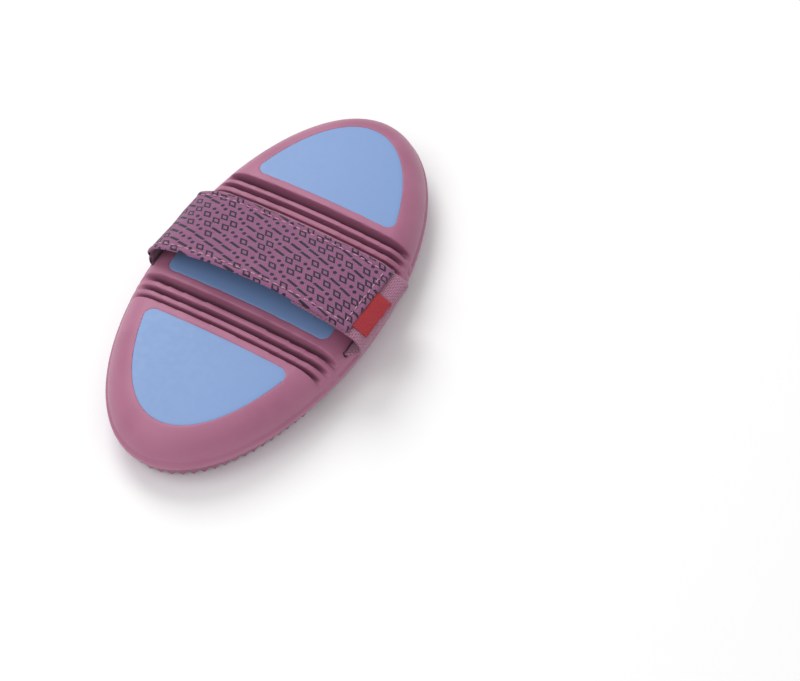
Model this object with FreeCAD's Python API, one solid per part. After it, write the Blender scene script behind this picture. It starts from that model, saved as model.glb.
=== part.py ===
import FreeCAD, Part
import math
import os

# Oval flexible curry comb, resting on its teeth with the hand strap on top.
# X runs across the comb, Y along it, Z up. The origin is on the plane of the
# tooth tips, under the middle of the comb. All sizes are in millimetres.

Vector = FreeCAD.Vector
X_AXIS = Vector(1, 0, 0)
Z_AXIS = Vector(0, 0, 1)
Y_AXIS = Vector(0, 1, 0)

# ---- driving dimensions ----
LENGTH = 191.8            # oval body, end to end
WIDTH = 96.0              # oval body, side to side
HALF_L = LENGTH / 2
HALF_W = WIDTH / 2

ROOT_Z = 7.6              # foot of the ridges, top of the floor skin
UNDER_Z = 8.6             # underside of the body
RIM_Z = 13.2              # top of the thin rim ledge
RIM_LOW_R = 1.7           # rounding of the rim's lower edge
RIM_TOP_R = 0.5           # rounding of the rim's upper edge
RIM_LEDGE = 0.9           # how far the back stands in from the rim
SHOULDER_R = 12.0         # round shoulder above the rim
BACK_Z = 25.2             # highest point of the crowned back
CROWN_R_ACROSS = 342.0    # crown of the back from side to side
CROWN_R_LONG = 1802.0     # crown of the back from end to end

CENTRE_HALF = 24.4        # centre section, half its length
END_START = 36.6          # where each end section starts
CENTRE_SKIN_HALF = 25.9   # floor skin of the centre section, half its length
END_SKIN_START = 35.5     # where the floor skin of an end section starts
SKIN_INSET = 4.1          # edge of the floor skin, in from the outline
WEB_TOP_Z = 16.2          # floor of the hinge grooves
PLEAT_DROP = 2.1          # pleats are lower than the back by this much
PLEAT_THICK = 2.2
PLEAT_OFFSET = 2.35       # pleat centre from the middle of the hinge

PANEL_RX, PANEL_RY = 37.1, 83.6      # oval edge of the back plates
BACK_PLATE_THICK = 2.4
PANEL_PROUD = 0.08        # the panels stand this much above the rubber
BACK_LIP = 2.0            # hidden lip that the rubber grips
BACK_LIP_THICK = 1.2
BACK_END_START = 39.9     # straight edge of an end back plate
BACK_CENTRE_HALF = 20.9   # straight edges of the centre back plate
BACK_END_R = 4.0
BACK_CENTRE_R = 3.0

BASE_PLATE_INSET = 2.1    # edge of a base plate, in from the outline
BASE_PLATE_THICK = 2.2
BASE_END_START = 38.8
BASE_CENTRE_HALF = 22.4
BASE_R = 2.0

RIDGE_THICK = 3.4         # at the crest
RIDGE_DRAFT = 0.3         # each side, over the ridge's height
BAR_Y = 37.6              # straight ridge of an end section
OUTER_RX, OUTER_RY = 41.0, 88.7      # oval that the outer ridge follows
CENTRE_RX = 43.0                     # the same oval, beside the centre section
MIDDLE_RX, MIDDLE_RY = 29.0, 80.0    # oval of the middle arch
INNER_HALF_BASE = 15.6    # inner arch, half its span at the bar
INNER_APEX_Y = 69.5
INNER_BULGE = 2.6         # outward bow of each side of the inner arch
CENTRE_BAR_Y = 23.8
INNER_RING_X, INNER_RING_Y = 31.0, 15.2
CROSS_X = 20.3
CORNER_R = 2.6

TOOTH_PITCH = 4.0
NOTCH_DEPTH = 2.0
NOTCH_HALF = 1.5
PIN_HOLE_R = 1.7

STRAP_HALF_Y = 19.0       # 38 mm webbing
FABRIC_THICK = 1.0
LINING_THICK = 0.6
HOOK_THICK = 0.8
LOOP_THICK = 1.5
FLAP_END_X = 44.6         # free end of the strap
CREASE_Z = 22.4           # where the flap folds away from its root
SLOT_GAP = 2.2
SLOT_HALF_Y = 19.8
SLOT_MOUTH_X, SLOT_MOUTH_Z = 44.8, 18.0
BAR_X, BAR_Z = 39.6, 15.0            # rod behind each slot
BAR_R = 1.4
SEWN_LOOP_R = 2.6         # outside of the strap's loop round the rod
TAG_Y0, TAG_Y1 = -14.5, 5.5
TAG_REACH, TAG_FALL = 5.4, 2.5
TAG_THICK = 0.8
STITCH_INSET = 3.0        # seam, in from the strap's edge
STITCH_PITCH = 3.4
STITCH_LENGTH = 2.2
THREAD_R = 0.28
THREAD_LIFT = 0.3         # middle of the thread above the strap

NODES = {}


def keep(name, shape):
    """File a sub-part under its node name."""
    NODES[name] = shape


# ---- shared outlines ----
def ellipse_prism(rx, ry, z0, z1):
    ellipse = Part.Ellipse(Vector(0, 0, 0), ry, rx)
    wire = Part.Wire(ellipse.toShape())
    wire.rotate(Vector(0, 0, 0), Z_AXIS, 90)
    wire.translate(Vector(0, 0, z0))
    return Part.Face(wire).extrude(Vector(0, 0, z1 - z0))


def inset_prism(inset, z0, z1):
    return ellipse_prism(HALF_W - inset, HALF_L - inset, z0, z1)


def block(x0, x1, y0, y1, z0, z1):
    return Part.makeBox(x1 - x0, y1 - y0, z1 - z0, Vector(x0, y0, z0))


def band(y0, y1):
    """Everything of the comb between two Y values."""
    return block(-HALF_W - 5, HALF_W + 5, y0, y1, -1, BACK_Z + 1)


def edges_at(shape, z):
    return [e for e in shape.Edges if abs(e.BoundBox.ZMin - z) < 1e-3 and abs(e.BoundBox.ZMax - z) < 1e-3]


def upright_edges(shape):
    """Straight edges that stand within a few degrees of vertical."""
    found = []
    for edge in shape.Edges:
        box = edge.BoundBox
        if box.ZLength > 0.5 and max(box.XLength, box.YLength) < 0.3 * box.ZLength:
            found.append(edge)
    return found


def round_corners(shape, radius):
    edges = upright_edges(shape) if radius else []
    return shape.makeFillet(radius, edges) if edges else shape


def crown(drop=0.0, low=UNDER_Z + 0.4):
    """Gently crowned back with a round shoulder; drop lowers it."""
    top = BACK_Z - drop
    barrel = Part.makeTorus(CROWN_R_LONG - CROWN_R_ACROSS, CROWN_R_ACROSS, Vector(0, 0, top - CROWN_R_LONG), X_AXIS)
    back = inset_prism(RIM_LEDGE + 0.4 * drop, low, top + 1).common(barrel)
    upper = [edge for edge in back.Edges if edge.BoundBox.ZMin > low + 5]
    return back.makeFillet(SHOULDER_R, upper)


def dome(drop=0.0):
    """Rim ledge with the crowned back above it."""
    rim = inset_prism(0, UNDER_Z, RIM_Z)
    rim = rim.makeFillet(RIM_LOW_R, edges_at(rim, UNDER_Z))
    rim = rim.makeFillet(RIM_TOP_R, edges_at(rim, RIM_Z))
    return rim.fuse(crown(drop)).removeSplitter()


# ---- rigid plates ----
def plate(rx, ry, y0, y1, radius, z0, z1):
    shape = ellipse_prism(rx, ry, z0, z1).common(band(y0, y1))
    return round_corners(shape, radius)


def back_plate(y0, y1, radius):
    """Panel flush with the crowned back, with a hidden lip round its lower edge."""
    low = 10
    panel = plate(PANEL_RX, PANEL_RY, y0, y1, radius, low, BACK_Z + 1).common(crown(-PANEL_PROUD, low))
    wide = plate(PANEL_RX + BACK_LIP, PANEL_RY + BACK_LIP, y0 - BACK_LIP, y1 + BACK_LIP, radius + BACK_LIP, low, BACK_Z)
    lip = wide.common(crown(BACK_PLATE_THICK, 0))
    return panel.fuse(lip).cut(crown(BACK_PLATE_THICK + BACK_LIP_THICK, 0)).removeSplitter()


def base_plate(y0, y1):
    rx, ry = HALF_W - BASE_PLATE_INSET, HALF_L - BASE_PLATE_INSET
    return plate(rx, ry, y0, y1, BASE_R, UNDER_Z, UNDER_Z + BASE_PLATE_THICK)


# ---- ridges ----
def oval_arc(rx, ry, y_from, y_to, z, side):
    """Part of an oval on one side (+1 or -1) of the comb, between two Y values."""
    points = []
    steps = 12
    t0 = math.asin(max(-1.0, y_from / ry))
    t1 = math.asin(min(1.0, y_to / ry))
    for i in range(steps + 1):
        t = t0 + (t1 - t0) * i / steps
        points.append(Vector(side * rx * math.cos(t), ry * math.sin(t), z))
    curve = Part.BSplineCurve()
    curve.interpolate(points)
    return curve.toShape()


def line(a, b):
    return Part.makeLine(a, b)


def end_outline(rx, ry, bar_y, z):
    """D shape of an end section on the -Y side, its flat side at y = -bar_y."""
    half = rx * math.sqrt(1 - (bar_y / ry) ** 2)
    left = oval_arc(rx, ry, -ry, -bar_y, z, -1)
    right = oval_arc(rx, ry, -ry, -bar_y, z, 1)
    flat = line(Vector(-half, -bar_y, z), Vector(half, -bar_y, z))
    return Part.Wire(Part.__sortEdges__([left, right, flat]))


def gothic_outline(grow, bar_y, z):
    """Pointed arch on the -Y side made of two arcs and a straight base."""
    apex = Vector(0, -INNER_APEX_Y, z)
    chord = Vector(INNER_HALF_BASE, -BAR_Y, z) - apex
    middle = apex + chord * 0.5
    out = Vector(-chord.y, chord.x, 0).normalize()
    if out.x < 0:
        out = out * -1
    radius = chord.Length ** 2 / (8 * INNER_BULGE) + INNER_BULGE / 2
    centre = middle + out * (INNER_BULGE - radius)
    radius = radius + grow
    apex_y = centre.y - math.sqrt(radius ** 2 - centre.x ** 2)
    base_x = centre.x + math.sqrt(radius ** 2 - (bar_y + centre.y) ** 2)
    mid_y = (apex_y - bar_y) / 2
    mid_x = centre.x + math.sqrt(radius ** 2 - (mid_y - centre.y) ** 2)
    tip = Vector(0, apex_y, z)
    edges = []
    for side in (-1, 1):
        base = Vector(side * base_x, -bar_y, z)
        edges.append(Part.Arc(tip, Vector(side * mid_x, mid_y, z), base).toShape())
    edges.append(line(Vector(-base_x, -bar_y, z), Vector(base_x, -bar_y, z)))
    return Part.Wire(Part.__sortEdges__(edges))


def centre_outline(half_y, rx, z):
    half = rx * math.sqrt(1 - (half_y / OUTER_RY) ** 2)
    left = oval_arc(rx, OUTER_RY, -half_y, half_y, z, -1)
    right = oval_arc(rx, OUTER_RY, -half_y, half_y, z, 1)
    low = line(Vector(-half, -half_y, z), Vector(half, -half_y, z))
    high = line(Vector(-half, half_y, z), Vector(half, half_y, z))
    return Part.Wire(Part.__sortEdges__([left, right, low, high]))


def rectangle_outline(half_x, half_y, z):
    corners = [Vector(sx * half_x, sy * half_y, z) for sx, sy in ((-1, -1), (1, -1), (1, 1), (-1, 1), (-1, -1))]
    return Part.makePolygon(corners)


def drafted(outline, grow, radius):
    """Solid from the crest plane to the ridge foot; outline(grow, z) gives its wires."""
    draft = RIDGE_DRAFT if grow > 0 else -RIDGE_DRAFT
    solid = Part.makeLoft([outline(grow, 0), outline(grow + draft, ROOT_Z)], True, True)
    return round_corners(solid, radius)


def wall(outline, outer_r, inner_r):
    """Closed ridge that follows an outline."""
    half = RIDGE_THICK / 2
    return drafted(outline, half, outer_r).cut(drafted(outline, -half, inner_r))


def end_block(grow, z):
    return end_outline(OUTER_RX + grow, OUTER_RY + grow, BAR_Y - grow, z)


def middle_block(grow, z):
    return end_outline(MIDDLE_RX + grow, MIDDLE_RY + grow, BAR_Y, z)


def inner_block(grow, z):
    return gothic_outline(grow, BAR_Y, z)


def centre_block(grow, z):
    return centre_outline(CENTRE_BAR_Y + grow, CENTRE_RX + grow, z)


def inner_ring_block(grow, z):
    return rectangle_outline(INNER_RING_X + grow, INNER_RING_Y + grow, z)


def notch(x, y, angle):
    """V cut across a ridge at a point; angle is the ridge's heading in degrees."""
    reach = 4.0
    corners = [(-NOTCH_HALF, 0), (NOTCH_HALF, 0), (0, NOTCH_DEPTH), (-NOTCH_HALF, 0)]
    wire = Part.makePolygon([Vector(u, -reach, v) for u, v in corners])
    cutter = Part.Face(wire).extrude(Vector(0, 2 * reach, 0))
    cutter.rotate(Vector(0, 0, 0), Z_AXIS, angle)
    cutter.translate(Vector(x, y, 0))
    return cutter


def notches_along(edge, inset=2.2):
    """Evenly spaced V cuts along one edge, clear of its ends."""
    run = edge.Length - 2 * inset
    count = max(1, round(run / TOOTH_PITCH))
    cutters = []
    for i in range(count + 1):
        parameter = edge.getParameterByLength(inset + run * i / count)
        point = edge.valueAt(parameter)
        heading = edge.tangentAt(parameter)
        cutters.append(notch(point.x, point.y, math.degrees(math.atan2(heading.y, heading.x))))
    return cutters


def toothed(ridge, wire, skip_flat_at=None):
    """Cut teeth into a ridge along its centreline wire."""
    cutters = []
    for edge in wire.Edges:
        box = edge.BoundBox
        flat = box.YLength < 1e-6
        if skip_flat_at is not None and flat and abs(box.YMin - skip_flat_at) < 1e-6:
            continue
        cutters.extend(notches_along(edge))
    return ridge.cut(Part.makeCompound(cutters))


def end_ridges():
    """The three nested ridges of the -Y end."""
    outer = wall(end_block, CORNER_R, 0.9)
    middle = drafted(middle_block, RIDGE_THICK / 2, 0)
    middle = middle.cut(drafted(middle_block, -RIDGE_THICK / 2, 0)).cut(band(-BAR_Y, BAR_Y))
    inner = drafted(inner_block, RIDGE_THICK / 2, 0)
    inner = inner.cut(drafted(inner_block, -RIDGE_THICK / 2, 0)).cut(band(-BAR_Y, BAR_Y))
    middle = middle.cut(outer)
    inner = inner.cut(outer)
    outer = toothed(outer, end_block(0, 0))
    middle = toothed(middle, middle_block(0, 0), -BAR_Y)
    inner = toothed(inner, inner_block(0, 0), -BAR_Y)
    return outer, middle, inner


def centre_ridges():
    outer = toothed(wall(centre_block, CORNER_R, 0.9), centre_block(0, 0))
    plain_ring = wall(inner_ring_block, CORNER_R, 0.9)
    ring = toothed(plain_ring, inner_ring_block(0, 0))
    half = RIDGE_THICK / 2
    walls = []
    for side in (-1, 1):
        x = side * CROSS_X
        slab = block(x - half, x + half, -INNER_RING_Y, INNER_RING_Y, 0, ROOT_Z).cut(plain_ring)
        run = line(Vector(x, -INNER_RING_Y + half, 0), Vector(x, INNER_RING_Y - half, 0))
        walls.append(slab.cut(Part.makeCompound(notches_along(run))))
    return outer, ring, Part.makeCompound(walls)


# ---- rubber body ----
def pin_holes(places):
    drills = [Part.makeCylinder(PIN_HOLE_R, UNDER_Z - ROOT_Z + 0.2, Vector(x, y, ROOT_Z - 0.2)) for x, y in places]
    return Part.makeCompound(drills)


def floor_skin(y0, y1):
    """Thin rubber floor between the ridges, under the base plate."""
    shape = inset_prism(SKIN_INSET, ROOT_Z, UNDER_Z).common(band(y0, y1))
    return round_corners(shape, CORNER_R)


CENTRE_HOLES = [(0, 0), (10.8, 6.4), (10.8, -6.4), (-10.8, 6.4), (-10.8, -6.4)]
CENTRE_HOLES += [(36, 6), (36, -6), (-36, 6), (-36, -6), (22, -19.4), (-22, 19.4)]
END_HOLES = [(-7, -42), (7, -42), (0, -53.8), (20.6, -42), (-20.6, -42)]
END_HOLES += [(31, -46), (-31, -46), (5, -84.3)]


def end_pad(back, base):
    body = dome().common(band(-HALF_L - 1, -END_START))
    skin = floor_skin(-HALF_L, -END_SKIN_START)
    skin = skin.cut(pin_holes(END_HOLES))
    return body.fuse(skin).cut(back).cut(base).removeSplitter()


def slot_cutter(side):
    """Slanting slot in the shoulder that leads the strap to its rod, with room for the sewn loop."""
    dx = SLOT_MOUTH_X - BAR_X
    dz = SLOT_MOUTH_Z - BAR_Z
    overrun = 4
    slot = Part.makeBox(math.hypot(dx, dz) + overrun, 2 * SLOT_HALF_Y, SLOT_GAP, Vector(0, -SLOT_HALF_Y, -SLOT_GAP / 2))
    slot.rotate(Vector(0, 0, 0), Y_AXIS, -math.degrees(math.atan2(dz, dx)))
    slot.translate(Vector(BAR_X, 0, BAR_Z))
    room = Part.makeCylinder(SEWN_LOOP_R + 0.1, 2 * SLOT_HALF_Y, Vector(BAR_X, -SLOT_HALF_Y, BAR_Z), Y_AXIS)
    cutter = slot.fuse(room)
    return cutter if side > 0 else cutter.mirror(Vector(0, 0, 0), Vector(1, 0, 0))


def anchor_bar(side):
    """Rod that a strap end is sewn round, held behind the slot."""
    start = Vector(side * BAR_X, -SLOT_HALF_Y, BAR_Z)
    return Part.makeCylinder(BAR_R, 2 * SLOT_HALF_Y, start, Y_AXIS)


def strap_passage(side):
    """Space in the rubber that a strap runs through, a little wider than the strap."""
    clear = 0.15
    slot = slot_cutter(side)
    if side > 0:
        return slot.fuse(strip(LOOP_FRONT, LOOP_REAR, -clear, LOOP_THICK + clear, -SLOT_HALF_Y, SLOT_HALF_Y))
    both = FABRIC_THICK + LINING_THICK
    return slot.fuse(strip(FLAP_ROOT, FLAP_ROOT, -clear, both + clear, -SLOT_HALF_Y, SLOT_HALF_Y))


def sewn_loop(side, strap):
    """Add the loop round the rod to a strap end."""
    start = Vector(side * BAR_X, -STRAP_HALF_Y, BAR_Z)
    tube = Part.makeCylinder(SEWN_LOOP_R, 2 * STRAP_HALF_Y, start, Y_AXIS)
    return strap.fuse(tube).cut(anchor_bar(side)).removeSplitter()


def centre_pad(back, base):
    body = dome().common(band(-CENTRE_HALF, CENTRE_HALF))
    skin = floor_skin(-CENTRE_SKIN_HALF, CENTRE_SKIN_HALF)
    skin = skin.cut(pin_holes(CENTRE_HOLES))
    pad = body.fuse(skin).cut(back).cut(base)
    for side in (-1, 1):
        pad = pad.cut(strap_passage(side))
    return pad.removeSplitter()


def hinge_pleats():
    """Web and two lower pleats that join the centre to the -Y end."""
    web = dome().common(band(-END_START, -CENTRE_HALF))
    web = web.cut(block(-HALF_W, HALF_W, -END_START, -CENTRE_HALF, WEB_TOP_Z, BACK_Z + 1))
    middle = -(END_START + CENTRE_HALF) / 2
    low_dome = dome(PLEAT_DROP)
    for side in (-1, 1):
        y = middle + side * PLEAT_OFFSET
        web = web.fuse(low_dome.common(band(y - PLEAT_THICK / 2, y + PLEAT_THICK / 2)))
    return web.removeSplitter()


# ---- strap ----
# Outer surface of each strap as (x, z) points at the front and rear edges.
# The arch leans a little: its front edge stands higher than its rear edge.
FLAP_FRONT = [(-45.4, 22.1), (-46.1, 24.8), (-42.6, 29.5), (-35.5, 33.0), (-26.0, 35.2), (-13.0, 37.3)]
FLAP_FRONT += [(2.0, 38.5), (17.0, 38.0), (31.0, 36.3), (FLAP_END_X, 32.8)]
FLAP_REAR = [(-45.4, 22.1), (-44.3, 24.3), (-41.0, 26.6), (-35.5, 29.2), (-26.0, 31.1), (-13.0, 31.6)]
FLAP_REAR += [(2.0, 31.7), (17.0, 31.5), (31.0, 31.0), (FLAP_END_X, 28.9)]
FLAP_ROOT = [(-41.8, 15.3), (-44.0, 16.6), (-45.3, 17.8), (-45.75, 19.5), (-45.65, 21.1), (-45.4, 22.7)]
LOOP_ROOT = [(49.4, 22.4), (49.0, 20.9), (48.1, 19.6), (46.6, 18.3), (45.2, 17.4), (41.7, 15.4)]
LOOP_FRONT = [(15.0, 35.4), (25.0, 34.5), (36.0, 32.4), (43.2, 30.2), (47.2, 28.4), (49.1, 25.6)] + LOOP_ROOT
LOOP_REAR = [(15.0, 28.8), (25.0, 28.6), (36.0, 27.6), (43.2, 26.3), (47.1, 25.6), (49.0, 24.3)] + LOOP_ROOT


def offset_points(points, depth):
    """Move a run of (x, z) points below the surface that they follow."""
    moved = []
    last = len(points) - 1
    for i, (x, z) in enumerate(points):
        ax, az = points[max(i - 1, 0)]
        bx, bz = points[min(i + 1, last)]
        length = math.hypot(bx - ax, bz - az)
        moved.append((x + (bz - az) / length * depth, z - (bx - ax) / length * depth))
    return moved


def strip_wire(points, top, bottom, y):
    """Closed section of a strip lying between two depths below its outer surface."""
    runs = []
    for depth in (top, bottom):
        at = [Vector(x, y, z) for x, z in offset_points(points, depth)]
        curve = Part.BSplineCurve()
        curve.interpolate(at)
        runs.append((curve.toShape(), at[0], at[-1]))
    (upper, u0, u1), (lower, l0, l1) = runs
    return Part.Wire(Part.__sortEdges__([upper, line(u1, l1), lower, line(l0, u0)]))


def between(front, rear, y):
    """Strap points at one Y value, part way between its two edges."""
    share = (y + STRAP_HALF_Y) / (2 * STRAP_HALF_Y)
    return [(a + (c - a) * share, b + (d - b) * share) for (a, b), (c, d) in zip(front, rear)]


def strip(front, rear, top, bottom, y0=-STRAP_HALF_Y, y1=STRAP_HALF_Y):
    wires = [strip_wire(between(front, rear, y), top, bottom, y) for y in (y0, y1)]
    return Part.makeLoft(wires, True, True)


def clip(shape, x0, x1, z0=0, z1=60, half_y=30):
    return shape.common(block(x0, x1, -half_y, half_y, z0, z1))


def thread_run(middle, heading, lift):
    """One visible stitch, a short rod along a heading, lifted off the strap."""
    rod = Part.makeCylinder(THREAD_R, STITCH_LENGTH, Vector(0, 0, -STITCH_LENGTH / 2))
    rod.rotate(Vector(0, 0, 0), Z_AXIS.cross(heading), math.degrees(Z_AXIS.getAngle(heading)))
    rod.translate(middle + lift)
    return rod


def surface_edge(y):
    """Line along the strap's outer surface at one Y value."""
    curve = Part.BSplineCurve()
    curve.interpolate([Vector(x, y, z) for x, z in between(FLAP_FRONT, FLAP_REAR, y)])
    return curve.toShape()


def long_stitches(y):
    edge = surface_edge(y)
    clear = 5.0
    count = int((edge.Length - clear - STITCH_INSET) / STITCH_PITCH)
    rods = []
    for i in range(count):
        parameter = edge.getParameterByLength(clear + i * STITCH_PITCH)
        heading = edge.tangentAt(parameter)
        lift = Vector(-heading.z, 0, heading.x) * THREAD_LIFT
        rods.append(thread_run(edge.valueAt(parameter), heading, lift))
    return rods


def end_stitches():
    """Row across the free end of the strap, following its slope from front to rear."""
    ends = []
    for y in (-STRAP_HALF_Y, STRAP_HALF_Y):
        edge = surface_edge(y)
        ends.append(edge.valueAt(edge.getParameterByLength(edge.Length - STITCH_INSET)))
    across = ends[1] - ends[0]
    clear = STITCH_INSET + 2.0
    count = int((across.Length - 2 * clear) / STITCH_PITCH) + 1
    rods = []
    for i in range(count):
        share = (clear + i * STITCH_PITCH) / across.Length
        rods.append(thread_run(ends[0] + across * share, across, Z_AXIS * (THREAD_LIFT + 0.1)))
    return rods


def stitching():
    seam_y = STRAP_HALF_Y - STITCH_INSET
    return Part.makeCompound(long_stitches(-seam_y) + long_stitches(seam_y) + end_stitches())


def pull_tag():
    """Folded tape sewn under the free end of the strap."""
    sections = []
    for y in (TAG_Y0, TAG_Y1):
        z = between(FLAP_FRONT, FLAP_REAR, y)[-1][1] - FABRIC_THICK
        low = [Vector(FLAP_END_X, y, z), Vector(FLAP_END_X + TAG_REACH, y, z - TAG_FALL)]
        high = [point + Z_AXIS * TAG_THICK for point in reversed(low)]
        sections.append(Part.makePolygon(low + high + low[:1]))
    return Part.makeLoft(sections, True, True)


def build_strap():
    both = FABRIC_THICK + LINING_THICK
    hem = 0.6
    keep("grip_strap", clip(strip(FLAP_FRONT, FLAP_REAR, 0, FABRIC_THICK), -52, 60, CREASE_Z + 0.1))
    lining = strip(FLAP_FRONT, FLAP_REAR, FABRIC_THICK, both)
    keep("strap_lining", clip(lining, -52, FLAP_END_X - hem, CREASE_Z + 0.1, 60, STRAP_HALF_Y - hem))
    hook = strip(FLAP_FRONT, FLAP_REAR, both, both + HOOK_THICK)
    keep("hook_tape", clip(hook, 19, 42, 0, 60, 16))
    keep("pull_tag", pull_tag())
    keep("strap_stitching", stitching())
    root = sewn_loop(-1, strip(FLAP_ROOT, FLAP_ROOT, 0, both))
    keep("grip_strap_root", clip(root, -52, 0, 0, CREASE_Z - 0.05))
    keep("loop_strap", sewn_loop(1, strip(LOOP_FRONT, LOOP_REAR, 0, LOOP_THICK)))
    keep("strap_anchor_bars", Part.makeCompound([anchor_bar(-1), anchor_bar(1)]))


# ---- assembly ----
def mirrored(shape):
    """The same piece at the other end, turned half a turn about Z."""
    turned = shape.copy()
    turned.rotate(Vector(0, 0, 0), Z_AXIS, 180)
    return turned


def build_ends():
    back = back_plate(-HALF_L, -BACK_END_START, BACK_END_R)
    base = base_plate(-HALF_L, -BASE_END_START)
    outer, middle, inner = end_ridges()
    pieces = {"pad": end_pad(back, base), "back_plate": back, "base_plate": base}
    pieces.update({"outer_ridge": outer, "middle_ridge": middle, "inner_ridge": inner})
    pieces["hinge_pleats"] = hinge_pleats()
    for name, shape in pieces.items():
        keep("front_" + name, shape)
        keep("rear_" + name, mirrored(shape))


def build_centre():
    back = back_plate(-BACK_CENTRE_HALF, BACK_CENTRE_HALF, BACK_CENTRE_R)
    base = base_plate(-BASE_CENTRE_HALF, BASE_CENTRE_HALF)
    keep("centre_back_plate", back)
    keep("centre_base_plate", base)
    keep("centre_pad", centre_pad(back, base))
    outer, ring, cross = centre_ridges()
    keep("centre_outer_ridge", outer)
    keep("centre_inner_ridge", ring)
    keep("centre_cross_ridges", cross)


os.makedirs("parts", exist_ok=True)
build_ends()
build_centre()
build_strap()
for node, shape in NODES.items():
    shape.exportStep("parts/" + node + ".step")
    box = shape.BoundBox
    print("%-22s solids %3d valid %s vol %9.1f z %.2f..%.2f" % (
        node, len(shape.Solids), shape.isValid(), shape.Volume, box.ZMin, box.ZMax))
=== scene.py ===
import math

import bmesh
import bpy
import numpy as np
from mathutils import Matrix, Vector


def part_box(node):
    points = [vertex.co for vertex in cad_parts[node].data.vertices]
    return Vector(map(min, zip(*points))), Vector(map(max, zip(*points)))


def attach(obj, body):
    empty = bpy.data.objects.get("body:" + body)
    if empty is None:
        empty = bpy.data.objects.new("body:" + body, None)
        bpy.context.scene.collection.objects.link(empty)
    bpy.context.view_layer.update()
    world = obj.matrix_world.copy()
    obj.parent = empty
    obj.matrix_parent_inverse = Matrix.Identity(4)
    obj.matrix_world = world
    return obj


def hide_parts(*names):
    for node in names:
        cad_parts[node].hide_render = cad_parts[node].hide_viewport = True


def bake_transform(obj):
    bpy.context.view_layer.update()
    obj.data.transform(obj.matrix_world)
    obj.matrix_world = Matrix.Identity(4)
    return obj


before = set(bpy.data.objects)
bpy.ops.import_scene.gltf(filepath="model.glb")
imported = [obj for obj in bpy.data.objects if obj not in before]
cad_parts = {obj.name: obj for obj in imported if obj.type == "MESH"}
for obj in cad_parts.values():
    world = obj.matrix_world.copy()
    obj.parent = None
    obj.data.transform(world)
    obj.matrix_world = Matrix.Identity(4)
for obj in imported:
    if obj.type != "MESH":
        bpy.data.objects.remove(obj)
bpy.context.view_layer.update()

# Oval curry comb: one continuous rubber moulding over blue plates, with a fabric hand strap.
# Shapes are worked out in millimetres in the row frame and scaled to metres as each piece is made.
MM = 0.001


def node_box(node):
    """A CAD node's lowest and highest corners, in millimetres."""
    low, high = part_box(node)
    return low / MM, high / MM


# ---- sizes: from the frame ----
end_low, end_high = node_box("front_pad")
_, centre_high = node_box("centre_pad")
pleat_low, pleat_high = node_box("front_hinge_pleats")
_, panel_high = node_box("centre_back_plate")
PANEL_PROUD = 0.08                 # CAD panels stand this much above the rubber
HALF_L = -end_low.y                # oval body, half its length
HALF_W = centre_high.x             # and half its width
ROOT_Z = end_low.z                 # rubber floor, at the foot of the ridges
BACK_Z = panel_high.z - PANEL_PROUD  # highest point of the crowned back
UNDER_Z = pleat_low.z              # underside of the body
END_START = -pleat_low.y           # where the front and rear sections start
CENTRE_HALF = -pleat_high.y        # half the centre section's length
END_SKIN = -end_high.y             # where an end section's rubber floor starts
CENTRE_SKIN = centre_high.y        # half the centre section's rubber floor

# ---- sizes: rubber body ----
RIM_Z = 13.2               # top of the rim
RIM_LEDGE = 0.9            # how far the back stands in from the rim
RIM_CREASE = 0.4           # the crease above the rim goes this much further in
RIM_LOW_R = 2.6            # rounding of the rim's lower edge
SHOULDER_R = 12.68
SHOULDER_IN, SHOULDER_Z = 13.2, 10.61    # centre of the shoulder's rounding, in from the outline and up
SHOULDER_FROM, SHOULDER_TO = 14.0, 80.0  # degrees of it that are used
CROWN_IN = 11.0                          # the crown starts this far in
CROWN_ACROSS, CROWN_ALONG = 342.0, 1802.0   # radii of the crowned back
WEB_TOP_Z = 16.2           # floor of the hinge grooves
PLEAT_DROP = 2.1           # pleats are lower than the back by this much
PLEAT_THICK = 2.4
PLEAT_OFFSET = 2.35        # from the middle of the hinge
PLEAT_PROUD = 0.2          # pleats stand out past the rim by this much
PLEAT_ROUND = 0.42         # rounding of their tops, as a share of their thickness
WEB_LAP = 0.4              # the web runs this far into the sections on either side
LIP_R = 1.3                # rounding of a section's edge at the hinge
PANEL_RX, PANEL_RY = 37.1, 83.6
PANEL_THICK = 2.4
PANEL_SINK = 0.16          # panels lie this much below the rubber's skin
WINDOW_INSET = 0.3         # the rubber laps over a panel's edge by this much
WINDOW_DEPTH = 4.5         # of the cut in the rubber, below the top of the back
END_PANEL_Y, END_PANEL_R = 39.9, 4.0         # straight edge and corner rounding
CENTRE_PANEL_Y, CENTRE_PANEL_R = 20.9, 3.0
BASE_INSET = 2.1
BASE_THICK = 2.2
BASE_END_START = 38.8
BASE_CENTRE_HALF = 22.4
BASE_R = 2.0
SKIN_INSET = 4.1
SKIN_R = 5.0
SKIN_LAP = 0.3             # the ridges' floor runs this far up into the body
BODY_VOXEL = 0.55
CUT_PAST = 5.0             # cutters go this much past what they cut

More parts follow.
